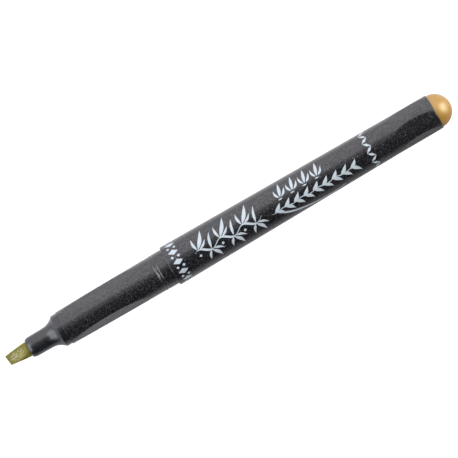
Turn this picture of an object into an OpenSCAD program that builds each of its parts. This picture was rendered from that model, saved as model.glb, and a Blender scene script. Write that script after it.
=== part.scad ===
// Calligraphy marker with a valve-fed italic nib, lying along X with the nib towards -X.
// The pen rests on z = 0 and the origin is under the middle of its length.
// Every turned piece is drawn as [radius, station] points, where a station is the
// distance from the nib's edge along the pen.

/* [Overall] */
// Length from the nib's edge to the top of the end plug
pen_length = 128; // [127:0.5:132]
// Fineness of the round surfaces
round_steps = 96; // [48:8:128]

/* [Nib] */
// Diameter of the fibre rod
nib_rod_d = 4; // [3.8:0.05:4.1]
// Width of the writing edge
nib_edge_w = 2.7; // [2:0.1:3.2]
// Thickness of the writing edge
nib_edge_t = 0.6; // [0.4:0.1:1]
// How far the far corner of the slanted edge lies behind the near one
nib_edge_skew = 0.3; // [0:0.1:0.6]
// Angle between each broad bevel and the nib's middle plane
nib_bevel_angle = 18; // [14:0.5:24]
// How far back the two sides are ground to narrow the edge
nib_taper_l = 5.2; // [4:0.1:6]
// Length of the rod outside the nose
nib_reach = 6.15; // [5.5:0.05:7]
// Length of the whole rod
nib_length = 22.5; // [22:0.1:22.8]
// How far the nib can be pressed in
nib_travel = 1.2; // [0.8:0.1:1.3]

/* [Nose] */
// Diameter of the nose tube at its mouth
nose_tip_d = 5.4; // [5.2:0.05:5.5]
// Diameter of the nose tube at its root
nose_root_d = 5.5; // [5.4:0.05:5.8]
// Diameter of the collar behind the flare
collar_d = 8.6; // [8.2:0.05:8.8]
// Station where the flare starts
flare_start = 11.5; // [10.5:0.1:12]
// Length of the flare
flare_l = 3.35; // [2.8:0.05:4]
// Station where the collar ends and the grip starts
collar_end = 16.4; // [16:0.1:17]

/* [Grip] */
// Diameter of the grip at its front
grip_front_d = 9; // [8.8:0.05:9.2]
// Diameter of the grip at its rear
grip_rear_d = 9.46; // [9.2:0.02:9.5]
// Diameter over the two snap ridges
ridge_d = 9.72; // [9.6:0.02:9.8]
// Diameter of the land the cap sits on
cap_land_d = 9.62; // [9.52:0.02:9.7]
// Station of the barrel's shoulder
shoulder = 47.05; // [46:0.05:48]

/* [Barrel] */
// Diameter of the barrel at its shoulder
barrel_front_d = 10.68; // [10.4:0.02:11]
// Diameter of the straight land at the rear
barrel_rear_d = 9.34; // [9.1:0.02:9.6]
// Length of that land
post_land_l = 12; // [8:0.1:14]
// Diameter of the ink chamber
chamber_d = 7.6; // [7.2:0.1:7.8]
// Diameter of the dome on the end plug
dome_d = 8.8; // [8.6:0.1:9]
// Diameter of the steel mixing ball
ball_d = 5.5; // [5.3:0.1:5.8]

/* [Flats] */
// Length of each of the three finger flats on the grip
finger_flat_l = 22.4; // [16:0.2:23]
// Depth of the finger flats at their middle
finger_flat_depth = 0.49; // [0.2:0.01:0.6]
// Station of the middle of the finger flats
finger_flat_mid = 27; // [26:0.1:29]
// Depth of the six flats on the rear land at their middle
rear_flat_depth = 0.3; // [0.1:0.01:0.4]

/* [Hidden] */

// Colours
pearl_black = "#34353a";
nose_black = "#3d4049";
ink_olive = "#a3994f";
satin_gold = "#dcaa54";
seal_red = "#9c3b30";
natural_white = "#e4e2da";
bright_steel = "#b9bcc2";

// Small radii, gaps and steps
edge_r = 0.2;
slide_gap = 0.05;
lead_in = 0.3;
overcut = 1;

// Nose and nib holder
mouth_round_r = 0.55;
mouth_round_l = 1.3;
holder_bore_r = nib_rod_d / 2 + slide_gap;
ink_well_r = 2.3;
ink_well_start = collar_end - 2;
valve_bore_r = 3.1;
press_gap = 0.3;
holder_end = nib_length + nib_travel + press_gap;

// Valve
seat_t = 1.2;
seat_hole_r = 1.4;
seat_back = holder_end + seat_t;
stem_pin_r = 0.9;
stem_head_r = 2.1;
stem_head_t = 1;
stem_guide_r = 0.85;
stem_guide_l = 4.6;
cage_end = 35;
cage_wall = 0.6;
cage_bore_r = valve_bore_r - cage_wall;
cage_back_t = 1;
ink_slot_w = 1.4;
ink_slot_l = 5;
ink_slot_start = seat_back + 2.4;
ink_hole_r = 0.55;
ink_hole_count = 4;
ink_hole_pitch_r = 1.6;
vent_hole_r = 0.5;

// Spring
spring_wire_r = 0.2;
spring_mean_r = 1.55;
spring_turns = 6;
spring_steps = 18;
spring_sides = 8;
spring_front = seat_back + stem_head_t;
spring_back = cage_end - cage_back_t;

// Grip and barrel
grip_steps = 8;
ridge_to_shoulder = [3.4, 2.55];
ridge_half_w = 0.25;
ridge_foot_d = 9.5;
counterbore_l = 0.8;
counterbore_gap = 0.02;
relief_depth = 0.3;
// Turn of the barrel's seam from straight down, so that the pen lies on a face beside it
seam_turn = 3.2;
spigot_l = 8;
spigot_bore_r = 2.5;
spigot_end = shoulder + spigot_l;
chamber_r = chamber_d / 2;
barrel_end = pen_length - dome_d / 2;

// Flats, counted round the pen from straight up towards -Y
scoop_steps = 720;
finger_flat_count = 3;
rear_flat_count = 6;
rear_flat_turn = 5.5;
finger_flat_turn = rear_flat_turn + 360 / rear_flat_count;
rear_flat_margin = 0.5;
rear_flat_l = post_land_l - 2 * rear_flat_margin;
rear_flat_mid = barrel_end - post_land_l / 2;

// End plug and ball
skirt_l = 8;
skirt_front = barrel_end - skirt_l;
skirt_wall = 1.2;
skirt_bore_r = chamber_r - skirt_wall;
skirt_groove_depth = 0.15;
skirt_groove_w = 1;
skirt_grooves = [1.6, 3.6];
ball_r = ball_d / 2;
ball_gap = 0.05;
ball_end_gap = 0.3;
ball_drop = chamber_r - ball_r - ball_gap;
ball_reach = sqrt(pow(ball_r, 2) - pow(skirt_bore_r - ball_drop, 2));
ball_station = skirt_front - ball_reach - ball_end_gap;

axis_z = barrel_front_d / 2;

// Points on an elliptical arc, by its centre, its two radii and its two angles
function arc(centre, radii, from, to, steps = 8) = [
    for (i = [0:steps])
        let (angle = from + (to - from) * i / steps)
        [centre.x + radii.x * cos(angle), centre.y + radii.y * sin(angle)]
];

// Grip radius at a fraction of its length: quick at first, then almost straight
function grip_r(part) =
    grip_front_d / 2 + (grip_rear_d - grip_front_d) / 2 * (1 - pow(1 - part, 2));

// Lays what is drawn along +Z onto the pen's axis
module along_pen() {
    translate([-pen_length / 2, 0, axis_z])
        rotate([0, 90, 0])
            children();
}

// Solid of revolution from a profile of [radius, station] points
module turned(profile) {
    rotate_extrude($fn = round_steps)
        polygon(profile);
}

// Straight round hole or rod between two stations
module round_bar(r, from, to) {
    translate([0, 0, from])
        cylinder(r = r, h = to - from, $fn = round_steps);
}

// Scoops round a rod, flat across and gently curved lengthwise, so that each leaves an almond-shaped flat
module scoops(count, turn, middle, surface_r, length, depth) {
    scoop_r = (pow(length / 2, 2) + pow(depth, 2)) / 2 / depth;
    for (i = [0:count - 1])
        rotate([0, 0, 180 + turn + i * 360 / count])
            translate([surface_r - depth + scoop_r, 0, middle])
                rotate([90, 0, 0])
                    cylinder(r = scoop_r, h = 2 * surface_r, center = true, $fn = scoop_steps);
}

module barrel() {
    front_r = barrel_front_d / 2;
    rear_r = barrel_rear_d / 2;
    color(pearl_black)
        along_pen()
            difference() {
                rotate([0, 0, seam_turn])
                    turned(concat(
                        [[0, shoulder]],
                        arc([front_r - edge_r, shoulder + edge_r], [edge_r, edge_r], -90, 0, 4),
                        [[rear_r, barrel_end - post_land_l]],
                        arc([rear_r - edge_r, barrel_end - edge_r], [edge_r, edge_r], 0, 90, 4),
                        [[0, barrel_end]]
                    ));
                round_bar(chamber_r, shoulder - overcut, barrel_end + overcut);
                round_bar(cap_land_d / 2 + counterbore_gap, shoulder - overcut, shoulder + counterbore_l);
                scoops(rear_flat_count, rear_flat_turn, rear_flat_mid, rear_r, rear_flat_l, rear_flat_depth);
            }
}

// One snap ridge: a low round-topped hump that falls to the given radius behind it
function ridge(station, back_r) = [
    [ridge_foot_d / 2, station - ridge_half_w],
    [ridge_d / 2, station - ridge_half_w / 3],
    [ridge_d / 2, station + ridge_half_w / 3],
    [back_r, station + ridge_half_w]
];

module grip_section() {
    first_ridge = shoulder - ridge_to_shoulder[0];
    second_ridge = shoulder - ridge_to_shoulder[1];
    grip_end = first_ridge - 2 * ridge_half_w;
    land_r = cap_land_d / 2;
    flat_part = (finger_flat_mid - collar_end) / (grip_end - collar_end);
    color(pearl_black)
        along_pen()
            difference() {
                turned(concat(
                    [[0, collar_end]],
                    arc([grip_front_d / 2 - edge_r, collar_end + edge_r], [edge_r, edge_r], -90, 0, 4),
                    [for (i = [1:grip_steps])
                        [grip_r(i / grip_steps), collar_end + (grip_end - collar_end) * i / grip_steps]],
                    ridge(first_ridge, ridge_foot_d / 2),
                    ridge(second_ridge, land_r),
                    [
                        [land_r, shoulder],
                        [land_r - relief_depth, shoulder],
                        [land_r - relief_depth, shoulder + counterbore_l],
                        [chamber_r, shoulder + counterbore_l],
                        [chamber_r, spigot_end - lead_in],
                        [chamber_r - lead_in, spigot_end],
                        [0, spigot_end]
                    ]
                ));
                round_bar(valve_bore_r, collar_end - overcut, cage_end);
                round_bar(spigot_bore_r, collar_end, spigot_end + overcut);
                scoops(
                    finger_flat_count, finger_flat_turn, finger_flat_mid,
                    grip_r(flat_part), finger_flat_l, finger_flat_depth
                );
            }
}

module nib_holder() {
    tip_r = nose_tip_d / 2;
    root_r = nose_root_d / 2;
    flare_rise = collar_d / 2 - root_r;
    flare_end = flare_start + flare_l;
    // One circular arc that leaves the tube smoothly and climbs to the collar
    flare_r = (pow(flare_l, 2) + pow(flare_rise, 2)) / 2 / flare_rise;
    flare_sweep = asin(flare_l / flare_r);
    color(nose_black)
        along_pen()
            difference() {
                turned(concat(
                    [[0, nib_reach]],
                    arc([tip_r - mouth_round_r, nib_reach + mouth_round_l],
                        [mouth_round_r, mouth_round_l], -90, 0),
                    arc([root_r + flare_r, flare_start], [flare_r, flare_r], 180, 180 - flare_sweep),
                    [
                        [collar_d / 2, collar_end],
                        [valve_bore_r, collar_end],
                        [valve_bore_r, holder_end],
                        [0, holder_end]
                    ]
                ));
                round_bar(holder_bore_r, nib_reach - overcut, holder_end);
                round_bar(ink_well_r, ink_well_start, holder_end + overcut);
            }
}

module nib() {
    half_rod = nib_rod_d / 2;
    half_edge = nib_edge_w / 2;
    bevel_l = (nib_rod_d - nib_edge_t) / 2 / tan(nib_bevel_angle);
    color(ink_olive)
        along_pen()
            intersection() {
                turned([
                    [0, 0],
                    [half_rod, 0],
                    [half_rod, nib_length - lead_in],
                    [half_rod - lead_in, nib_length],
                    [0, nib_length]
                ]);
                nib_outline([
                    [0, half_edge],
                    [nib_edge_skew, -half_edge],
                    [nib_taper_l, -half_rod],
                    [nib_length, -half_rod],
                    [nib_length, half_rod],
                    [nib_taper_l, half_rod]
                ]);
                rotate([0, 0, 90])
                    nib_outline([
                        [0, -nib_edge_t / 2],
                        [bevel_l, -half_rod],
                        [nib_length, -half_rod],
                        [nib_length, half_rod],
                        [bevel_l, half_rod],
                        [0, nib_edge_t / 2]
                    ]);
            }
}

// Slab cut to an outline of [station, sideways] points, thick enough to span the rod
module nib_outline(points) {
    rotate([0, -90, 0])
        linear_extrude(nib_rod_d * 2, center = true)
            polygon(points);
}

module valve_seat() {
    color(seal_red)
        along_pen()
            difference() {
                round_bar(valve_bore_r, holder_end, seat_back);
                round_bar(seat_hole_r, holder_end - overcut, seat_back + overcut);
            }
}

module valve_stem() {
    head_back = seat_back + stem_head_t;
    color(natural_white)
        along_pen()
            turned([
                [0, nib_length],
                [stem_pin_r, nib_length],
                [stem_pin_r, seat_back],
                [stem_head_r, seat_back],
                [stem_head_r, head_back],
                [stem_guide_r, head_back],
                [stem_guide_r, head_back + stem_guide_l - lead_in],
                [stem_guide_r - lead_in, head_back + stem_guide_l],
                [0, head_back + stem_guide_l]
            ]);
}

module valve_cage() {
    color(natural_white)
        along_pen()
            difference() {
                round_bar(valve_bore_r, seat_back, cage_end);
                round_bar(cage_bore_r, seat_back - overcut, cage_end - cage_back_t);
                round_bar(vent_hole_r, seat_back, cage_end + overcut);
                for (i = [0:ink_hole_count - 1])
                    rotate([0, 0, 45 + i * 360 / ink_hole_count])
                        translate([ink_hole_pitch_r, 0, 0])
                            round_bar(ink_hole_r, seat_back, cage_end + overcut);
                for (angle = [0, 90])
                    rotate([0, 0, angle])
                        translate([-valve_bore_r - overcut, -ink_slot_w / 2, ink_slot_start])
                            cube([2 * (valve_bore_r + overcut), ink_slot_w, ink_slot_l]);
            }
}

// Centre of the spring's wire at each step round its turns
function spring_point(i) =
    let (
        angle = 360 * i / spring_steps,
        front = spring_front + spring_wire_r,
        back = spring_back - spring_wire_r
    )
    [
        spring_mean_r * cos(angle),
        spring_mean_r * sin(angle),
        front + (back - front) * i / (spring_turns * spring_steps)
    ];

// Ring of points round the wire at one step
function spring_ring(i) =
    let (
        angle = 360 * i / spring_steps,
        centre = spring_point(i)
    )
    [
        for (k = [0:spring_sides - 1])
            let (turn = 360 * k / spring_sides)
            centre + spring_wire_r * (
                cos(turn) * [cos(angle), sin(angle), 0] + sin(turn) * [0, 0, 1]
            )
    ];

module valve_spring() {
    last = spring_turns * spring_steps;
    color(bright_steel)
        along_pen()
            polyhedron(
                points = [for (i = [0:last]) each spring_ring(i)],
                faces = concat(
                    [[for (k = [0:spring_sides - 1]) k]],
                    [for (i = [0:last - 1])
                        for (k = [0:spring_sides - 1])
                            let (
                                next = (k + 1) % spring_sides,
                                here = i * spring_sides,
                                there = here + spring_sides
                            )
                            [here + k, there + k, there + next, here + next]],
                    [[for (k = [spring_sides - 1:-1:0]) last * spring_sides + k]]
                )
            );
}

module mixing_ball() {
    color(bright_steel)
        translate([ball_station - pen_length / 2, 0, axis_z - ball_drop])
            sphere(r = ball_r, $fn = round_steps);
}

module end_plug() {
    color(satin_gold)
        along_pen()
            difference() {
                union() {
                    intersection() {
                        translate([0, 0, barrel_end])
                            sphere(d = dome_d, $fn = round_steps);
                        round_bar(dome_d, barrel_end, pen_length + overcut);
                    }
                    turned([
                        [0, skirt_front],
                        [chamber_r - lead_in, skirt_front],
                        [chamber_r, skirt_front + lead_in],
                        [chamber_r, barrel_end],
                        [0, barrel_end]
                    ]);
                }
                for (start = skirt_grooves)
                    skirt_groove(skirt_front + start);
                round_bar(skirt_bore_r, skirt_front - overcut, barrel_end);
                translate([0, 0, barrel_end])
                    sphere(r = skirt_bore_r, $fn = round_steps);
            }
}

// Shallow groove that leaves a sealing bead on each side of it
module skirt_groove(start) {
    difference() {
        round_bar(chamber_r + overcut, start, start + skirt_groove_w);
        round_bar(chamber_r - skirt_groove_depth, start - overcut, start + skirt_groove_w + overcut);
    }
}

barrel();
grip_section();
nib_holder();
nib();
valve_seat();
valve_stem();
valve_spring();
valve_cage();
mixing_ball();
end_plug();
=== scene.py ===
"""Calligraphy marker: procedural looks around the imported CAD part. Metres, pen along X, nib at -X."""

import math

import bmesh
import bpy
from mathutils import Matrix, Vector, noise


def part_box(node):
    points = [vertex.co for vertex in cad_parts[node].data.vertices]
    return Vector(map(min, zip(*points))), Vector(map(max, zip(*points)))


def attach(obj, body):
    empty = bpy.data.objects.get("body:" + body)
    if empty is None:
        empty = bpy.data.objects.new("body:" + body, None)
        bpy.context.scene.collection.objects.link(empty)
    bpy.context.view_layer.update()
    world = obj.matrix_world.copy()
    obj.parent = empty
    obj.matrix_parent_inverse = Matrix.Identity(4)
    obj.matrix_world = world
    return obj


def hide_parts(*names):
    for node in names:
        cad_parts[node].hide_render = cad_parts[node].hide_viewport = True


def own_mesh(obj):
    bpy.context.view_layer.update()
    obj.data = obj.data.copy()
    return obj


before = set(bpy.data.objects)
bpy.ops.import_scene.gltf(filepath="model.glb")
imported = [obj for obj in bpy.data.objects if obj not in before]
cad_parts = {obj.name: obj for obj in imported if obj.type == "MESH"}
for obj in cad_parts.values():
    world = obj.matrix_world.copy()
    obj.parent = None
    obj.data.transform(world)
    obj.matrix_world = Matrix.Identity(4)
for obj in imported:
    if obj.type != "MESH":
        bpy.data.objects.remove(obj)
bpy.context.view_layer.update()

MM = 0.001

# ---------------------------------------------------------------- places read from the frame

NIB_LOW, NIB_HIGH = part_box("nib")
HOLDER_LOW, HOLDER_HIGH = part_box("nib_holder")
GRIP_LOW, GRIP_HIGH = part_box("grip_section")
BARREL_LOW, BARREL_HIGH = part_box("barrel")
PLUG_LOW, PLUG_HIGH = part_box("end_plug")
SPRING_LOW, SPRING_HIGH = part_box("valve_spring")
CAGE_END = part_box("valve_cage")[1].x

AXIS_Z = (BARREL_LOW.z + BARREL_HIGH.z) / 2
PEN_START = NIB_LOW.x
MOUTH = HOLDER_LOW.x
SHOULDER = BARREL_LOW.x
BARREL_END = BARREL_HIGH.x
BARREL_FRONT_R = (BARREL_HIGH.y - BARREL_LOW.y) / 2

# ---------------------------------------------------------------- sizes that several functions share

# The straight rear end, which a posted cap fits
BARREL_REAR_R = 4.67 * MM
POST_LAND = 12 * MM
POST_LAND_START = BARREL_END - POST_LAND
# The ink chamber's bore, which the grip's spigot and the plug's skirt fill
CHAMBER_R = 3.8 * MM
# Depth of the wider mouth in the barrel's front, round the grip's narrower neck
COUNTERBORE = 0.8 * MM
# Rounding of the barrel's edges
EDGE_R = 0.2 * MM
# Corner that is taken off the end of a spigot
LEAD_IN = 0.3 * MM

# Points round a plain piece, and round one with flats
ROUND = 144
FINE_ROUND = 240
# A smaller radius than this is a point on the axis
POINT_R = 1e-7


# ---------------------------------------------------------------- mesh helpers

def arc(centre, radii, start, end, steps=8):
    """Points on an elliptical arc in the (x, radius) plane, angles in degrees."""
    points = []
    for i in range(steps + 1):
        angle = math.radians(start + (end - start) * i / steps)
        points.append((centre[0] + radii[0] * math.cos(angle), centre[1] + radii[1] * math.sin(angle)))
    return points


def ramp(start, end, steps):
    """Points on a straight line, without its first one."""
    return [
        (start[0] + (end[0] - start[0]) * i / steps, start[1] + (end[1] - start[1]) * i / steps)
        for i in range(1, steps + 1)
    ]


def make_object(name, verts, faces, sharp_angle=35):
    """Mesh object whose faces all look outwards, smooth but with sharp edges above an angle."""
    mesh = bpy.data.meshes.new(name)
    mesh.from_pydata(verts, [], faces)
    mesh.validate()
    skin = bmesh.new()
    skin.from_mesh(mesh)
    bmesh.ops.recalc_face_normals(skin, faces=skin.faces)
    skin.to_mesh(mesh)
    skin.free()
    mesh.shade_smooth()
    mesh.set_sharp_from_angle(angle=math.radians(sharp_angle))
    piece = bpy.data.objects.new(name, mesh)
    bpy.context.scene.collection.objects.link(piece)
    return piece


def on_axis(x, radius, angle):
    """Point at an angle round the pen's axis; 0 is straight up and positive turns towards -Y."""
    return (x, -radius * math.sin(angle), AXIS_Z + radius * math.cos(angle))


def flats(count, turn, middle, surface_r, length, depth):
    """The radius that a ring of scooped flats leaves anywhere: flat across, gently curved lengthwise."""
    scoop_r = ((length / 2) ** 2 + depth ** 2) / 2 / depth
    pitch = 2 * math.pi / count

    def limit(x, angle):
        along = min(scoop_r, abs(x - middle))
        away = surface_r - depth + scoop_r - math.sqrt(scoop_r ** 2 - along ** 2)
        return away / math.cos((angle - turn + pitch / 2) % pitch - pitch / 2)

    return limit


def ring_faces(row, after):
    """Faces between two rings of points, where a ring may be one point repeated."""
    faces = []
    for k in range(len(row)):
        m = (k + 1) % len(row)
        corners = [row[k], after[k], after[m], row[m]]
        corners = [c for n, c in enumerate(corners) if c != corners[n - 1]]
        if len(corners) > 2:
            faces.append(corners)
    return faces


def lathe(name, outline, steps=ROUND, limit=None):
    """Solid turned about the pen's axis from a closed outline of (x, radius) points, cut by any flats."""
    verts = []
    rows = []
    for x, radius in outline:
        if radius < POINT_R:
            rows.append([len(verts)] * steps)
            verts.append((x, 0, AXIS_Z))
            continue
        rows.append(list(range(len(verts), len(verts) + steps)))
        for k in range(steps):
            angle = 2 * math.pi * k / steps
            verts.append(on_axis(x, min(radius, limit(x, angle)) if limit else radius, angle))
    faces = []
    for i, row in enumerate(rows):
        faces += ring_faces(row, rows[(i + 1) % len(rows)])
    return make_object(name, verts, faces)


# ---------------------------------------------------------------- turned pieces

def barrel_radius(x):
    """Outer radius of the barrel at x: an even taper, then the straight land at the rear."""
    part = min(1, max(0, (x - SHOULDER - EDGE_R) / (POST_LAND_START - SHOULDER - EDGE_R)))
    return BARREL_FRONT_R + (BARREL_REAR_R - BARREL_FRONT_R) * part


def make_barrel():
    mouth_r = 4.83 * MM
    mouth_end = SHOULDER + COUNTERBORE
    taper_start = (SHOULDER + EDGE_R, BARREL_FRONT_R)
    land_start = (POST_LAND_START, BARREL_REAR_R)
    land_end = (BARREL_END - EDGE_R, BARREL_REAR_R)
    taper_rows = 32
    land_rows = 60
    flat_count = 6
    flat_turn = math.radians(5.5)
    flat_middle = BARREL_END - POST_LAND / 2
    flat_length = 11 * MM
    flat_depth = 0.3 * MM
    outline = [(SHOULDER, mouth_r)]
    outline += arc((SHOULDER + EDGE_R, BARREL_FRONT_R - EDGE_R), (EDGE_R, EDGE_R), 180, 90)
    outline += ramp(taper_start, land_start, taper_rows)
    outline += ramp(land_start, land_end, land_rows)
    outline += arc((BARREL_END - EDGE_R, BARREL_REAR_R - EDGE_R), (EDGE_R, EDGE_R), 90, 0)[1:]
    outline += [
        (BARREL_END, CHAMBER_R),
        (mouth_end, CHAMBER_R),
        (mouth_end, mouth_r),
    ]
    rear_flats = flats(flat_count, flat_turn, flat_middle, BARREL_REAR_R, flat_length, flat_depth)
    return lathe("barrel_shell", outline, FINE_ROUND, rear_flats)


def ridge(x, foot, height, half_width, back_r, steps=6):
    """Low round hump on the grip, as part of its outline; behind its crest it stops at the back radius."""
    points = []
    for i in range(steps + 1):
        t = -1 + 2 * i / steps
        radius = foot + height * math.cos(t * math.pi / 2) ** 2
        points.append((x + t * half_width, max(radius, back_r) if t > 0 else radius))
    return points


def make_grip():
    front = GRIP_LOW.x
    front_r = 4.5 * MM
    front_edge = 0.09 * MM
    rear_r = 4.73 * MM
    taper_rows = 100
    ridge_foot = 4.75 * MM
    ridge_height = 0.11 * MM
    ridge_half = 0.25 * MM
    first_ridge = SHOULDER - 3.4 * MM
    second_ridge = SHOULDER - 2.55 * MM
    taper_end = first_ridge - 2 * ridge_half
    land_start = second_ridge + ridge_half
    land_r = 4.81 * MM
    land_edge = 0.06 * MM
    relief_r = 4.51 * MM
    relief_end = SHOULDER + COUNTERBORE
    valve_bore_r = 3.1 * MM
    spigot_bore_r = 2.5 * MM
    flat_count = 3
    flat_turn = math.radians(65.5)
    flat_middle = PEN_START + 27 * MM
    flat_length = 22.4 * MM
    flat_depth = 0.49 * MM

    def taper_r(part):
        """Outer radius at a share of the taper, which bends over towards the rear."""
        return front_r + (rear_r - front_r) * (1 - (1 - part) ** 2)

    outline = [(front, valve_bore_r)]
    outline += arc((front + front_edge, front_r - front_edge), (front_edge, front_edge), 180, 90)
    for i in range(1, taper_rows + 1):
        part = i / taper_rows
        outline.append((front + front_edge + (taper_end - front - front_edge) * part, taper_r(part)))
    outline += ridge(first_ridge, ridge_foot, ridge_height, ridge_half, ridge_foot)
    outline += ridge(second_ridge, ridge_foot, ridge_height, ridge_half, land_r)
    outline += [
        (land_start + land_edge, land_r),
        (SHOULDER - land_edge, land_r),
        (SHOULDER, land_r),
        (SHOULDER, relief_r),
        (relief_end, relief_r),
        (relief_end, CHAMBER_R),
        (GRIP_HIGH.x - LEAD_IN, CHAMBER_R),
        (GRIP_HIGH.x, CHAMBER_R - LEAD_IN),
        (GRIP_HIGH.x, spigot_bore_r),
        (CAGE_END, spigot_bore_r),
        (CAGE_END, valve_bore_r),
    ]
    flat_surface_r = taper_r((flat_middle - front) / (taper_end - front))
    finger_flats = flats(flat_count, flat_turn, flat_middle, flat_surface_r, flat_length, flat_depth)
    return lathe("grip_shell", outline, FINE_ROUND, finger_flats)


def make_nose():
    tip_r = 2.7 * MM
    root_r = 2.75 * MM
    collar_r = 4.3 * MM
    collar_end = GRIP_LOW.x
    collar_edge = 0.08 * MM
    mouth_round = (1.3 * MM, 0.55 * MM)
    flare_start = PEN_START + 11.5 * MM
    flare_length = 3.35 * MM
    flare_rise = collar_r - root_r
    flare_r = (flare_length ** 2 + flare_rise ** 2) / 2 / flare_rise
    flare_sweep = math.degrees(math.asin(flare_length / flare_r))
    flare_end = flare_start + flare_length
    bore_r = 2.05 * MM
    spigot_r = 3.1 * MM
    well_r = 2.3 * MM
    well_start = collar_end - 2 * MM
    tube_start = (MOUTH + mouth_round[0], tip_r)
    tube_rows = 8
    mouth_rows = 12
    flare_rows = 20
    outline = [(MOUTH, bore_r)]
    outline += arc((tube_start[0], tip_r - mouth_round[1]), mouth_round, 180, 90, mouth_rows)
    outline += ramp(tube_start, (flare_start, root_r), tube_rows)
    flare_centre = (flare_start, root_r + flare_r)
    outline += arc(flare_centre, (flare_r, flare_r), 270, 270 + flare_sweep, flare_rows)[1:-1]
    edge_centre = (flare_end + collar_edge, collar_r - collar_edge)
    outline += arc(edge_centre, (collar_edge, collar_edge), 140, 90, 4)
    outline += [
        (collar_end - collar_edge, collar_r),
        (collar_end, collar_r - collar_edge / 2),
        (collar_end, spigot_r),
        (HOLDER_HIGH.x, spigot_r),
        (HOLDER_HIGH.x, well_r),
        (well_start, well_r),
        (well_start, bore_r),
    ]
    return lathe("nose_cone", outline)


def make_plug():
    front = PLUG_LOW.x
    dome_r = PLUG_HIGH.x - BARREL_END
    dome_rows = 40
    cup_r = 2.6 * MM
    cup_rows = 16
    groove_depth = 0.15 * MM
    groove_width = 1 * MM
    groove_starts = (front + 3.6 * MM, front + 1.6 * MM)
    outline = arc((BARREL_END, 0), (dome_r, dome_r), 0, 90, dome_rows)
    outline[0] = (PLUG_HIGH.x, 0)
    outline.append((BARREL_END, CHAMBER_R))
    for start in groove_starts:
        outline += [
            (start + groove_width, CHAMBER_R),
            (start + groove_width, CHAMBER_R - groove_depth),
            (start, CHAMBER_R - groove_depth),
            (start, CHAMBER_R),
        ]
    outline += [
        (front + LEAD_IN, CHAMBER_R),
        (front, CHAMBER_R - LEAD_IN),
        (front, cup_r),
    ]
    outline += arc((BARREL_END, 0), (cup_r, cup_r), 90, 0, cup_rows)
    outline[-1] = (BARREL_END + cup_r, 0)
    return lathe("gold_plug", outline)


# ---------------------------------------------------------------- nib

# How far one corner of the slanted writing edge lies behind the other
NIB_SKEW = 0.3 * MM


def fibre_relief(x, y, z):
    """Fine lengthwise grooves and coarser lumps of pressed fibre, from -1 to 1."""
    grooves = noise.noise(Vector((x * 900, y * 7500, z * 7500)))
    lumps = noise.noise(Vector((x * 1800, y * 2600, z * 2600)))
    return 0.65 * grooves + 0.35 * lumps


def nib_rings():
    """(distance from the edge, share of the full section) of each ring of points along the nib."""
    edge_end = 0.12 * MM
    tail = 0.3 * MM
    rod_rings = 150
    # Above 1, the rings crowd towards the writing edge
    crowding = 1.4
    length = NIB_HIGH.x - PEN_START
    rings = [(0, 0.0), (0, 0.5), (0, 0.86), (0.02 * MM, 0.94), (0.06 * MM, 0.98), (edge_end, 1.0)]
    for i in range(1, rod_rings + 1):
        rings.append((edge_end + (length - edge_end - tail) * (i / rod_rings) ** crowding, 1.0))
    rings += [(length, 0.85), (length, 0.5), (length, 0.0)]
    return rings


def nib_point(station, share, angle):
    """Point on the nib's skin. Its section is a circle cut by two bevels and by two ground sides."""
    rod_r = 2 * MM
    edge_half_t = 0.3 * MM
    edge_half_w = 1.35 * MM
    bevel_slope = math.tan(math.radians(18))
    side_slope = (rod_r - edge_half_w) / (5.2 * MM)
    skew_fade = 5 * MM
    # The higher, the sharper the corners between the faces
    corner_power = 30
    relief_depth = 0.03 * MM
    # Nearer the axis than this the relief grows no further
    least_r = 0.2 * MM
    up = math.cos(angle)
    side = -math.sin(angle)
    cut = rod_r ** -corner_power
    cut += (abs(up) / (edge_half_t + station * bevel_slope)) ** corner_power
    cut += (abs(side) / (edge_half_w + station * side_slope)) ** corner_power
    radius = share * cut ** (-1 / corner_power)
    y = radius * side
    z = radius * up
    depth = relief_depth * share * (fibre_relief(station, y, z) - 1) / 2
    factor = 1 + depth / max(radius, least_r)
    lean = NIB_SKEW * (1 - y / edge_half_w) / 2 * max(0, 1 - station / skew_fade)
    return (PEN_START + station + max(0, lean), y * factor, AXIS_Z + z * factor)


def make_nib():
    """Fibre rod ground to a chisel with a slightly slanted edge. Each end closes in a point on the axis."""
    around = 240
    verts = []
    rows = []
    for station, share in nib_rings():
        if share == 0:
            rows.append([len(verts)] * around)
            lean = NIB_SKEW / 2 if station == 0 else 0
            verts.append((PEN_START + station + lean, 0, AXIS_Z))
            continue
        rows.append(list(range(len(verts), len(verts) + around)))
        for k in range(around):
            verts.append(nib_point(station, share, 2 * math.pi * k / around))
    faces = []
    for row, after in zip(rows, rows[1:]):
        faces += ring_faces(row, after)
    return make_object("fibre_nib", verts, faces, sharp_angle=50)


# ---------------------------------------------------------------- spring

def make_spring():
    """Coil of round wire with its two ends capped."""
    wire_r = 0.2 * MM
    mean_r = 1.55 * MM
    turns = 6
    steps = 40
    sides = 14
    start = SPRING_LOW.x + wire_r
    end = SPRING_HIGH.x - wire_r
    verts = []
    for i in range(turns * steps + 1):
        angle = 2 * math.pi * i / steps
        x = start + (end - start) * i / (turns * steps)
        for k in range(sides):
            turn = 2 * math.pi * k / sides
            verts.append(on_axis(x + wire_r * math.sin(turn), mean_r + wire_r * math.cos(turn), angle))
    faces = [list(range(sides))[::-1]]
    for i in range(turns * steps):
        for k in range(sides):
            m = (k + 1) % sides
            faces.append([i * sides + k, i * sides + m, (i + 1) * sides + m, (i + 1) * sides + k])
    faces.append([turns * steps * sides + k for k in range(sides)])
    return make_object("valve_spring_coil", verts, faces, sharp_angle=60)


# ---------------------------------------------------------------- printed ornament

# The ornament is drawn in millimetres: u is the station along the pen, v the way round the barrel.

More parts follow.
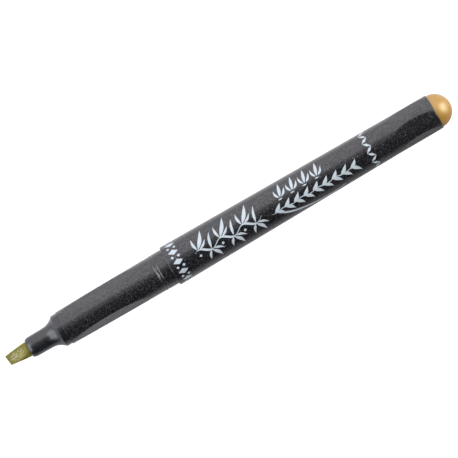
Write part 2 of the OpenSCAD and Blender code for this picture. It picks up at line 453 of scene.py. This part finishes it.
# Thickness of the ink. Films differ by a small step of it, in five levels, so that the tops of two
# that cross seldom coincide.
PRINT_T = 0.015 * MM
FILM_STEP = 0.02
FILM_LEVELS = 5
# Columns of faces across a film
PRINT_COLUMNS = 6
# Slant of the broad nib that the stems are drawn with, in degrees, and its thinnest line
NIB_SLANT = 38
HAIRLINE = 0.2


def curve(points, steps=14):
    """Smooth path of (u, v) points through a few chosen ones."""
    path = []
    count = len(points)
    for i in range(count - 1):
        before = points[max(i - 1, 0)]
        here = points[i]
        there = points[i + 1]
        after = points[min(i + 2, count - 1)]
        for k in range(steps):
            t = k / steps
            path.append(tuple(
                0.5 * (2 * b + (c - a) * t + (2 * a - 5 * b + 4 * c - d) * t * t
                       + (3 * b - a - 3 * c + d) * t ** 3)
                for a, b, c, d in zip(before, here, there, after)
            ))
    path.append(points[-1])
    return path


def edges(u, v, normal, half):
    """The two edge points of a strip, half its width to either side of (u, v)."""
    return (u - normal[0] * half, v - normal[1] * half), (u + normal[0] * half, v + normal[1] * half)


def pen_stroke(path, nib):
    """Stroke of a broad nib held at a slant: thick across the nib, a hairline along it."""
    strip = []
    last = len(path) - 1
    for i, (u, v) in enumerate(path):
        u0, v0 = path[max(i - 1, 0)]
        u1, v1 = path[min(i + 1, last)]
        heading = math.atan2(v1 - v0, u1 - u0)
        lift = min(1, 0.25 + 6 * min(i, last - i) / last)
        half = 0.5 * lift * max(HAIRLINE, nib * abs(math.sin(heading + math.radians(NIB_SLANT))))
        strip.append(edges(u, v, (-math.sin(heading), math.cos(heading)), half))
    return strip


def leaf(base, tip, width, bend=0.0, steps=16):
    """Pointed leaf from base to tip, bent to one side, widest a little nearer its base."""
    tip_half = 0.02
    base_pull = 0.8
    slimness = 1.1
    du = tip[0] - base[0]
    dv = tip[1] - base[1]
    length = math.hypot(du, dv)
    normal = (-dv / length, du / length)
    strip = []
    for i in range(steps + 1):
        part = i / steps
        bow = bend * math.sin(math.pi * part)
        half = tip_half
        if 0 < part < 1:
            half += 0.5 * width * math.sin(math.pi * part ** base_pull) ** slimness
        u = base[0] + du * part + normal[0] * bow
        v = base[1] + dv * part + normal[1] * bow
        strip.append(edges(u, v, normal, half))
    return strip


def lozenge(centre, length, width, slant=0.0, steps=8):
    """Diamond, its long way turned by slant degrees from the pen's axis."""
    tip_half = 0.01
    du = math.cos(math.radians(slant))
    dv = math.sin(math.radians(slant))
    strip = []
    for i in range(steps + 1):
        part = -1 + 2 * i / steps
        half = tip_half + 0.5 * width * (1 - abs(part))
        u = centre[0] + du * part * length / 2
        v = centre[1] + dv * part * length / 2
        strip.append(edges(u, v, (-dv, du), half))
    return strip


def film_points(strip, height):
    """Rows of points across a strip, at a height above the barrel's surface."""
    points = []
    for left, right in strip:
        for c in range(PRINT_COLUMNS + 1):
            part = c / PRINT_COLUMNS
            x = PEN_START + MM * (left[0] + (right[0] - left[0]) * part)
            around = MM * (left[1] + (right[1] - left[1]) * part)
            surface = barrel_radius(x)
            points.append(on_axis(x, surface + height, around / surface))
    return points


def film_faces(first, rows):
    """Top, underside and rim of one film. Its points start at first: all of the top, then the underside."""
    columns = PRINT_COLUMNS + 1
    layer = rows * columns
    faces = []
    for i in range(rows - 1):
        for c in range(PRINT_COLUMNS):
            a = first + i * columns + c
            top = [a, a + 1, a + 1 + columns, a + columns]
            faces.append(top)
            faces.append([layer + q for q in reversed(top)])
    rim = [first + c for c in range(columns)]
    rim += [first + i * columns + PRINT_COLUMNS for i in range(1, rows)]
    rim += [first + (rows - 1) * columns + c for c in range(PRINT_COLUMNS - 1, -1, -1)]
    rim += [first + i * columns for i in range(rows - 2, 0, -1)]
    for n, a in enumerate(rim):
        b = rim[(n + 1) % len(rim)]
        faces.append([b, a, a + layer, b + layer])
    return faces


def print_on_barrel(name, strips):
    """Closed film of ink, sunk a little into the barrel, for every strip of (left, right) edge points."""
    verts = []
    faces = []
    for number, strip in enumerate(strips):
        film = PRINT_T * (1 + FILM_STEP * (number % FILM_LEVELS))
        faces += film_faces(len(verts), len(strip))
        verts += film_points(strip, film) + film_points(strip, -PRINT_T)
    return make_object(name, verts, faces, sharp_angle=50)


def girth(u):
    """Way round the barrel at a station, in millimetres."""
    return 2 * math.pi * barrel_radius(PEN_START + u * MM) / MM


def band_strips():
    """Two borders that run right round the barrel: lozenges in front and a zigzag behind."""
    strips = []
    front = 49.65
    front_count = 12
    small_gap = 0.85
    for i in range(front_count):
        v = girth(front) * i / front_count
        between = v + girth(front) / front_count / 2
        strips.append(lozenge((front, v), length=2.7, width=1.5))
        strips.append(lozenge((front - small_gap, between), length=0.85, width=0.75))
        strips.append(lozenge((front + small_gap, between), length=0.85, width=0.75))
    rear = 104.65
    rear_count = 22
    rear_slant = 35
    for i in range(rear_count):
        v = girth(rear) * i / rear_count
        slant = rear_slant if i % 2 else -rear_slant
        strips.append(lozenge((rear, v), length=2.2, width=0.7, slant=slant))
    return strips


def spray_strips():
    """Large spray on the front half: slender leaves on both sides of a waving stem, with buds beside it."""
    strips = []
    start = 54.3
    end = 73.4
    crests = 3
    pitch = (end - start) / crests
    wave = 0.75
    middle = 0.9
    phase = 1.1
    stem_steps = 120
    stem = []
    for i in range(stem_steps + 1):
        part = i / stem_steps
        v = middle - wave * math.cos(2 * math.pi * crests * part - phase)
        stem.append((start + (end - start) * part, v))
    strips.append(pen_stroke(stem, nib=0.6))
    for i in range(crests):
        crest = start + pitch * (i + 0.17)
        trough = crest + pitch / 2
        strips.append(leaf((crest, 0.0), (crest + 2.6, -4.5), width=0.95, bend=0.35))
        strips.append(leaf((crest - 0.2, 0.0), (crest - 0.5, -3.2), width=0.62, bend=-0.25))
        strips.append(leaf((crest + 0.5, 0.1), (crest + 2.7, -1.5), width=0.55, bend=0.25))
        strips.append(leaf((trough, 1.3), (trough + 1.2, -2.6), width=0.65, bend=-0.2))
        strips.append(leaf((trough, 1.8), (trough + 1.7, 4.7), width=0.85, bend=-0.3))
        strips.append(leaf((trough - 0.3, 1.8), (trough - 1.3, 4.1), width=0.62, bend=0.25))
        strips.append(leaf((trough + 0.5, 1.6), (trough + 3.0, 2.9), width=0.55, bend=-0.25))
        strips.append(lozenge((crest - 0.1, 1.7), length=0.8, width=0.8))
    return strips


def laurel_strips():
    """Laurel branch on the rear half, with a row of small fleurons above it and a long swash below."""
    strips = []
    start = 76.6
    end = 101.0
    leaf_pairs = 9
    fleurons = 4
    pitch = (end - start) / leaf_pairs
    middle = 1.85
    stem_steps = 80
    stem = []
    for i in range(stem_steps + 1):
        u = start - 1 + (end - start) * i / stem_steps
        stem.append((u, middle + 0.2 * math.sin(i * math.pi / 8)))
    strips.append(pen_stroke(stem, nib=0.35))
    for i in range(leaf_pairs):
        u = start + pitch * i
        strips.append(leaf((u, middle), (u + 2.1, middle - 1.75), width=0.85, bend=0.25))
        strips.append(leaf((u + 0.4, middle), (u + 2.5, middle + 1.65), width=0.85, bend=-0.25))
    swash = curve([(77.8, 2.6), (81.5, 4.3), (87.0, 5.7), (92.0, 6.0), (95.5, 5.2)])
    strips.append(pen_stroke(swash, nib=0.7))
    for i in range(fleurons):
        u = 79.6 + 3.5 * i
        strips.append(leaf((u, -1.0), (u + 0.9, -4.9), width=0.75, bend=0.1))
        strips.append(leaf((u - 0.3, -1.0), (u - 0.9, -3.3), width=0.52, bend=-0.3))
        strips.append(leaf((u + 0.4, -1.0), (u + 1.9, -2.9), width=0.52, bend=0.3))
        strips.append(lozenge((u - 0.2, -0.55), length=1.3, width=0.35))
    return strips


# ---------------------------------------------------------------- materials

class Graph:
    """Short way to lay out one material's nodes."""

    def __init__(self, name):
        self.material = bpy.data.materials.new(name)
        self.material.use_nodes = True
        self.nodes = self.material.node_tree.nodes
        self.links = self.material.node_tree.links
        self.shader = self.nodes["Principled BSDF"]
        self.place = self.add("ShaderNodeTexCoord").outputs["Object"]

    def add(self, kind, **settings):
        node = self.nodes.new(kind)
        for key, value in settings.items():
            setattr(node, key, value)
        return node

    def feed(self, socket, value):
        """Links a socket to another one, or sets it to a plain value."""
        if isinstance(value, bpy.types.NodeSocket):
            self.links.new(value, socket)
        else:
            socket.default_value = value

    def put(self, node, **inputs):
        """Feeds the sockets named by the keywords, with _ for a space."""
        for key, value in inputs.items():
            self.feed(node.inputs[key.replace("_", " ")], value)

    def position(self, axis):
        """One of the object's own coordinates."""
        node = self.add("ShaderNodeSeparateXYZ")
        self.links.new(self.place, node.inputs["Vector"])
        return node.outputs[axis]

    def stretched(self, x, y, z):
        """The object's own coordinates, each scaled by its own factor."""
        node = self.add("ShaderNodeVectorMath", operation="MULTIPLY")
        self.links.new(self.place, node.inputs[0])
        node.inputs[1].default_value = (x, y, z)
        return node.outputs["Vector"]

    def noise(self, scale, detail=3, rough=0.5, vector=None):
        node = self.add("ShaderNodeTexNoise")
        self.put(node, Vector=vector or self.place, Scale=scale, Detail=detail, Roughness=rough)
        return node.outputs["Fac"]

    def cells(self, scale):
        """A random colour for each cell of a fine irregular pattern."""
        node = self.add("ShaderNodeTexVoronoi")
        self.put(node, Vector=self.place, Scale=scale)
        return node.outputs["Color"]

    def channel(self, colour, name="Red"):
        node = self.add("ShaderNodeSeparateColor")
        self.links.new(colour, node.inputs["Color"])
        return node.outputs[name]

    def span(self, value, low, high, to_low=0.0, to_high=1.0):
        """Value carried from one range to another and held at its ends."""
        node = self.add("ShaderNodeMapRange")
        self.links.new(value, node.inputs["Value"])
        for key, number in zip(("From Min", "From Max", "To Min", "To Max"), (low, high, to_low, to_high)):
            node.inputs[key].default_value = number
        return node.outputs["Result"]

    def blend(self, factor, first, second):
        """Colour between two others, each a socket or a plain (red, green, blue)."""
        node = self.add("ShaderNodeMix", data_type="RGBA")
        self.feed(node.inputs["Factor"], factor)
        # A Mix node also has sockets for numbers and vectors; inputs 6 and 7 and output 2 are for colours
        for socket, colour in ((node.inputs[6], first), (node.inputs[7], second)):
            self.feed(socket, (*colour, 1) if isinstance(colour, tuple) else colour)
        return node.outputs[2]

    def operate(self, operation, first, second=0.0):
        node = self.add("ShaderNodeMath", operation=operation)
        self.feed(node.inputs[0], first)
        self.feed(node.inputs[1], second)
        return node.outputs[0]

    def times(self, first, second):
        return self.operate("MULTIPLY", first, second)

    def plus(self, first, second):
        return self.operate("ADD", first, second)

    def bump(self, height, strength, distance, normal=None):
        node = self.add("ShaderNodeBump")
        self.put(node, Height=height, Strength=strength, Distance=distance)
        if normal:
            self.links.new(normal, node.inputs["Normal"])
        return node.outputs["Normal"]

    def leaning(self, colour, amount):
        """The surface normal, leant at random by a cell's own colour."""
        centred = self.add("ShaderNodeVectorMath", operation="SUBTRACT")
        self.links.new(colour, centred.inputs[0])
        centred.inputs[1].default_value = (0.5, 0.5, 0.5)
        scaled = self.add("ShaderNodeVectorMath", operation="SCALE")
        self.links.new(centred.outputs["Vector"], scaled.inputs[0])
        scaled.inputs["Scale"].default_value = amount
        summed = self.add("ShaderNodeVectorMath", operation="ADD")
        self.links.new(self.add("ShaderNodeNewGeometry").outputs["Normal"], summed.inputs[0])
        self.links.new(scaled.outputs["Vector"], summed.inputs[1])
        unit = self.add("ShaderNodeVectorMath", operation="NORMALIZE")
        self.links.new(summed.outputs["Vector"], unit.inputs[0])
        return unit.outputs["Vector"]


def pearl_plastic(name, base, fleck, roughness):
    """Dark moulded plastic full of fine mica flecks that catch the light one by one."""
    g = Graph(name)
    colour = g.cells(11000)
    mask = g.span(g.channel(colour), 0.90, 0.97)
    cloud = g.noise(260, 4)
    g.put(
        g.shader,
        Base_Color=g.blend(mask, g.blend(cloud, base, tuple(1.6 * c for c in base)), fleck),
        Metallic=g.times(mask, 0.5),
        Roughness=g.span(g.noise(1400, 2), 0.3, 0.7, roughness - 0.04, roughness + 0.05),
        Normal=g.bump(g.noise(5200, 2), 0.03, 0.00002, g.leaning(colour, 0.07)),
    )
    return g.material


def nib_fibre():
    """Pressed fibre full of olive-gold ink, with pale dried flakes where the faces are worn."""
    g = Graph("nib_fibre_ink")
    grain = g.noise(1.0, 5, 0.6, g.stretched(1500, 9000, 9000))
    colour = g.cells(8000)
    along = g.position("X")
    across = g.operate("ABSOLUTE", g.position("Y"))
    worn = g.times(
        g.span(along, NIB_LOW.x + 0.4 * MM, NIB_LOW.x + 1.9 * MM),
        g.span(along, MOUTH, MOUTH - 1.9 * MM),
    )
    worn = g.times(worn, g.span(across, 1.5 * MM, 0.3 * MM))
    patches = g.span(g.times(worn, g.noise(2600, 3)), 0.05, 0.45)
    flakes = g.times(g.span(g.channel(colour), 0.62, 0.85), patches)
    clump = g.cells(4200)
    mottle = g.plus(g.times(grain, 0.55), g.times(g.channel(clump), 0.5))
    wet_ink = g.blend(mottle, (0.028, 0.024, 0.001), (0.145, 0.131, 0.007))
    dry_ink = g.blend(mottle, (0.039, 0.033, 0.003), (0.172, 0.151, 0.020))
    brown = g.span(g.channel(clump, "Green"), 0.5, 0.95, 0.0, 0.5)
    ink = g.blend(brown, g.blend(worn, wet_ink, dry_ink), (0.116, 0.082, 0.015))
    g.put(
        g.shader,
        Base_Color=g.blend(flakes, ink, (0.34, 0.32, 0.22)),
        Metallic=g.times(flakes, 0.25),
        Specular_IOR_Level=0.25,
        Roughness=g.span(grain, 0.3, 0.7, 0.5, 0.8),
        Normal=g.bump(grain, 0.35, 0.00004, g.leaning(colour, 0.3)),
    )
    return g.material


def satin_gold():
    """Gold metallic moulding with a soft sheen and faint flow marks."""
    g = Graph("satin_gold_moulding")
    flow = g.noise(420, 4)
    colour = g.cells(12000)
    g.put(
        g.shader,
        Base_Color=g.blend(flow, (0.185, 0.098, 0.009), (0.23, 0.124, 0.015)),
        Metallic=0.12,
        Specular_IOR_Level=0.8,
        Roughness=g.span(g.noise(2200, 2), 0.3, 0.7, 0.41, 0.48),
        Normal=g.leaning(colour, 0.09),
    )
    return g.material


def silver_print():
    """Pale silvery ink, a little uneven."""
    g = Graph("silver_print_ink")
    patch = g.noise(1500, 4)
    g.put(
        g.shader,
        Base_Color=g.blend(patch, (0.223, 0.252, 0.288), (0.290, 0.319, 0.356)),
        Metallic=0.1,
        Roughness=g.span(patch, 0.3, 0.7, 0.5, 0.7),
        Normal=g.bump(g.noise(9000, 2), 0.15, 0.00001),
    )
    return g.material


def moulded(name, low, high, roughness):
    """Plain moulding with slight mottle and a fine skin."""
    g = Graph(name)
    mottle = g.noise(700, 4)
    g.put(
        g.shader,
        Base_Color=g.blend(mottle, low, high),
        Roughness=g.span(mottle, 0.3, 0.7, roughness - 0.06, roughness + 0.08),
        Normal=g.bump(g.noise(6000, 3), 0.12, 0.00002),
    )
    return g.material


def steel(name, low, high, roughness):
    """Bare steel with the fine marks of drawing or lapping."""
    g = Graph(name)
    marks = g.noise(9000, 4, 0.6)
    g.put(
        g.shader,
        Base_Color=g.blend(marks, low, high),
        Metallic=1.0,
        Roughness=g.span(marks, 0.3, 0.7, roughness * 0.7, roughness * 1.4),
        Normal=g.bump(marks, 0.08, 0.00001),
    )
    return g.material


# ---------------------------------------------------------------- assembly

def dress(piece, material, body="pen_body", stands_for=None):
    """Gives a new piece its material and its body."""
    piece.data.materials.clear()
    piece.data.materials.append(material)
    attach(piece, body)
    if stands_for:
        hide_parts(stands_for)


def redress(node, material):
    """Gives a CAD node that stays a better material."""
    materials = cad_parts[node].data.materials
    materials.clear()
    materials.append(material)


pearl_black = pearl_plastic(
    "pearl_black_plastic",
    base=(0.0026, 0.0026, 0.0034),
    fleck=(0.125, 0.125, 0.143),
    roughness=0.24,
)
pearl_nose = pearl_plastic(
    "pearl_nose_plastic",
    base=(0.0030, 0.0032, 0.0042),
    fleck=(0.055, 0.058, 0.072),
    roughness=0.24,
)
natural_plastic = moulded("natural_plastic", (0.46, 0.445, 0.39), (0.56, 0.545, 0.495), roughness=0.4)
seal_rubber = moulded("seal_rubber_red", (0.26, 0.035, 0.025), (0.36, 0.06, 0.04), roughness=0.62)
spring_wire = steel("spring_wire_steel", (0.50, 0.51, 0.53), (0.66, 0.67, 0.69), roughness=0.25)
lapped_ball = steel("lapped_ball_steel", (0.62, 0.63, 0.65), (0.70, 0.71, 0.73), roughness=0.12)
print_ink = silver_print()

dress(make_barrel(), pearl_black, stands_for="barrel")
dress(make_grip(), pearl_black, stands_for="grip_section")
dress(make_nose(), pearl_nose, stands_for="nib_holder")
dress(make_plug(), satin_gold(), stands_for="end_plug")
dress(make_nib(), nib_fibre(), body="nib", stands_for="nib")

coil = make_spring()
dress(coil, spring_wire, stands_for="valve_spring")
# The first joint is the nib's, and the valve and its spring follow it one to one
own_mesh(coil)

redress("valve_cage", natural_plastic)
redress("valve_stem", natural_plastic)
redress("valve_seat", seal_rubber)
redress("mixing_ball", lapped_ball)

dress(print_on_barrel("printed_bands", band_strips()), print_ink)
dress(print_on_barrel("printed_spray", spray_strips()), print_ink)
dress(print_on_barrel("printed_laurel", laurel_strips()), print_ink)


# ---------------------------------------------------------------- floor, light and camera

def make_floor():
    """Near-white table that only the camera sees, over the grey one that the pen is lit by and whose colour
    is painted shade seen in the pen's gloss.
    """
    half = 1.5
    sunk = -0.1 * MM
    corners = [(-half, -half, 0), (half, -half, 0), (half, half, 0), (-half, half, 0)]
    shown = make_object("pale_floor", corners, [(0, 1, 2, 3)])
    paint = Graph("pale_floor_paint")
    paint.put(
        paint.shader,
        Base_Color=paint.blend(paint.noise(30, 3), (0.20, 0.20, 0.20), (0.24, 0.24, 0.24)),
        Roughness=0.9,
        Emission_Color=(1, 1, 1, 1),
        Emission_Strength=0.86,
    )
    shown.data.materials.append(paint.material)
    shown.visible_glossy = False
    shown.visible_diffuse = False
    shown.visible_shadow = False
    bounce = make_object("bounce_floor", [(x, y, sunk) for x, y, _ in corners], [(0, 1, 2, 3)])
    plain = Graph("bounce_floor_painted_shade")
    # Painted shade: the grey floor's colour is dark far out on the -Y side, grey beside the pen and darker
    # there towards the rear, pale beyond it; these stand in for shade that the pen's gloss reflects.
    along = plain.position("X")
    across = plain.position("Y")
    beside = plain.blend(plain.span(along, -10 * MM, 40 * MM), (0.42, 0.414, 0.442), (0.28, 0.276, 0.295))
    grey = plain.blend(plain.span(across, -45 * MM, -13 * MM), (0.19, 0.187, 0.203), beside)
    pale = plain.blend(plain.span(across, -4 * MM, 4 * MM), grey, (0.68, 0.67, 0.705))
    plain.put(plain.shader, Base_Color=pale, Roughness=0.9)
    bounce.data.materials.append(plain.material)
    bounce.visible_camera = False


def soft_light(name, width, height, place, radiance, tint=(1, 1, 1)):
    """Softbox facing the pen, hidden from the camera, by its size and the brightness of its face."""
    data = bpy.data.lights.new(name, "AREA")
    data.shape = "RECTANGLE"
    data.size = width
    data.size_y = height
    data.energy = radiance * math.pi * width * height
    data.color = tint
    light = bpy.data.objects.new(name, data)
    light.location = place
    light.rotation_euler = (-Vector(place)).to_track_quat("-Z", "Y").to_euler()
    light.visible_camera = False
    bpy.context.scene.collection.objects.link(light)


def spot(distance, from_zenith, heading):
    """Place at a distance from the pen's middle, by degrees down from straight up and round from +X."""
    down = math.radians(from_zenith)
    turn = math.radians(heading)
    side = distance * math.sin(down)
    return (side * math.cos(turn), side * math.sin(turn), AXIS_Z + distance * math.cos(down))


def make_lights():
    soft_light("key_softbox", 2.0, 1.45, spot(1.0, 54, 90), radiance=2.4, tint=(0.98, 0.965, 1.0))
    soft_light("top_strip", 2.0, 0.2, spot(1.0, 5, 90), radiance=1.0)
    soft_light("front_softbox", 1.8, 1.3, spot(1.0, 55, 176), radiance=2.3, tint=(0.90, 0.94, 1.0))
    soft_light("front_core", 1.1, 0.8, spot(0.99, 55, 176), radiance=2.8, tint=(0.90, 0.94, 1.0))
    soft_light("rear_softbox", 0.75, 0.75, spot(1.0, 65, -4), radiance=13.0, tint=(0.99, 0.985, 0.86))


def make_world():
    """Dim studio behind the lights, and a pale backdrop where the camera looks past the floor."""
    world = bpy.data.worlds.new("studio")
    bpy.context.scene.world = world
    world.use_nodes = True
    nodes = world.node_tree.nodes
    links = world.node_tree.links
    backdrop = nodes.new("ShaderNodeBackground")
    backdrop.inputs["Color"].default_value = (0.95, 0.95, 0.95, 1)
    nodes["Background"].inputs["Color"].default_value = (0.03, 0.03, 0.032, 1)
    switch = nodes.new("ShaderNodeMixShader")
    links.new(nodes.new("ShaderNodeLightPath").outputs["Is Camera Ray"], switch.inputs["Fac"])
    links.new(nodes["Background"].outputs["Background"], switch.inputs[1])
    links.new(backdrop.outputs["Background"], switch.inputs[2])
    links.new(switch.outputs["Shader"], nodes["World Output"].inputs["Surface"])


def make_camera():
    """Long lens almost straight above, turned so that the pen climbs to the right."""
    climb = 30.345
    distance = 1.04
    frame_width = 114.38 * MM
    along = 28.5 * MM
    aim = Vector((0.5 * MM, 0.565 * MM, AXIS_Z))
    data = bpy.data.cameras.new("camera")
    data.sensor_width = 36
    data.lens = data.sensor_width * distance / frame_width
    camera = bpy.data.objects.new("camera", data)
    bpy.context.scene.collection.objects.link(camera)
    camera.location = aim + Vector((along, 0, distance))
    view = (aim - camera.location).normalized()
    turn = math.radians(climb)
    up = Vector((math.sin(turn), math.cos(turn), 0))
    right = view.cross(up).normalized()
    up = right.cross(view)
    facing = Matrix((right, up, -view)).transposed()
    camera.rotation_euler = facing.to_euler()
    bpy.context.scene.camera = camera


make_floor()
make_lights()
make_world()
make_camera()
bpy.context.scene.view_settings.view_transform = "Standard"
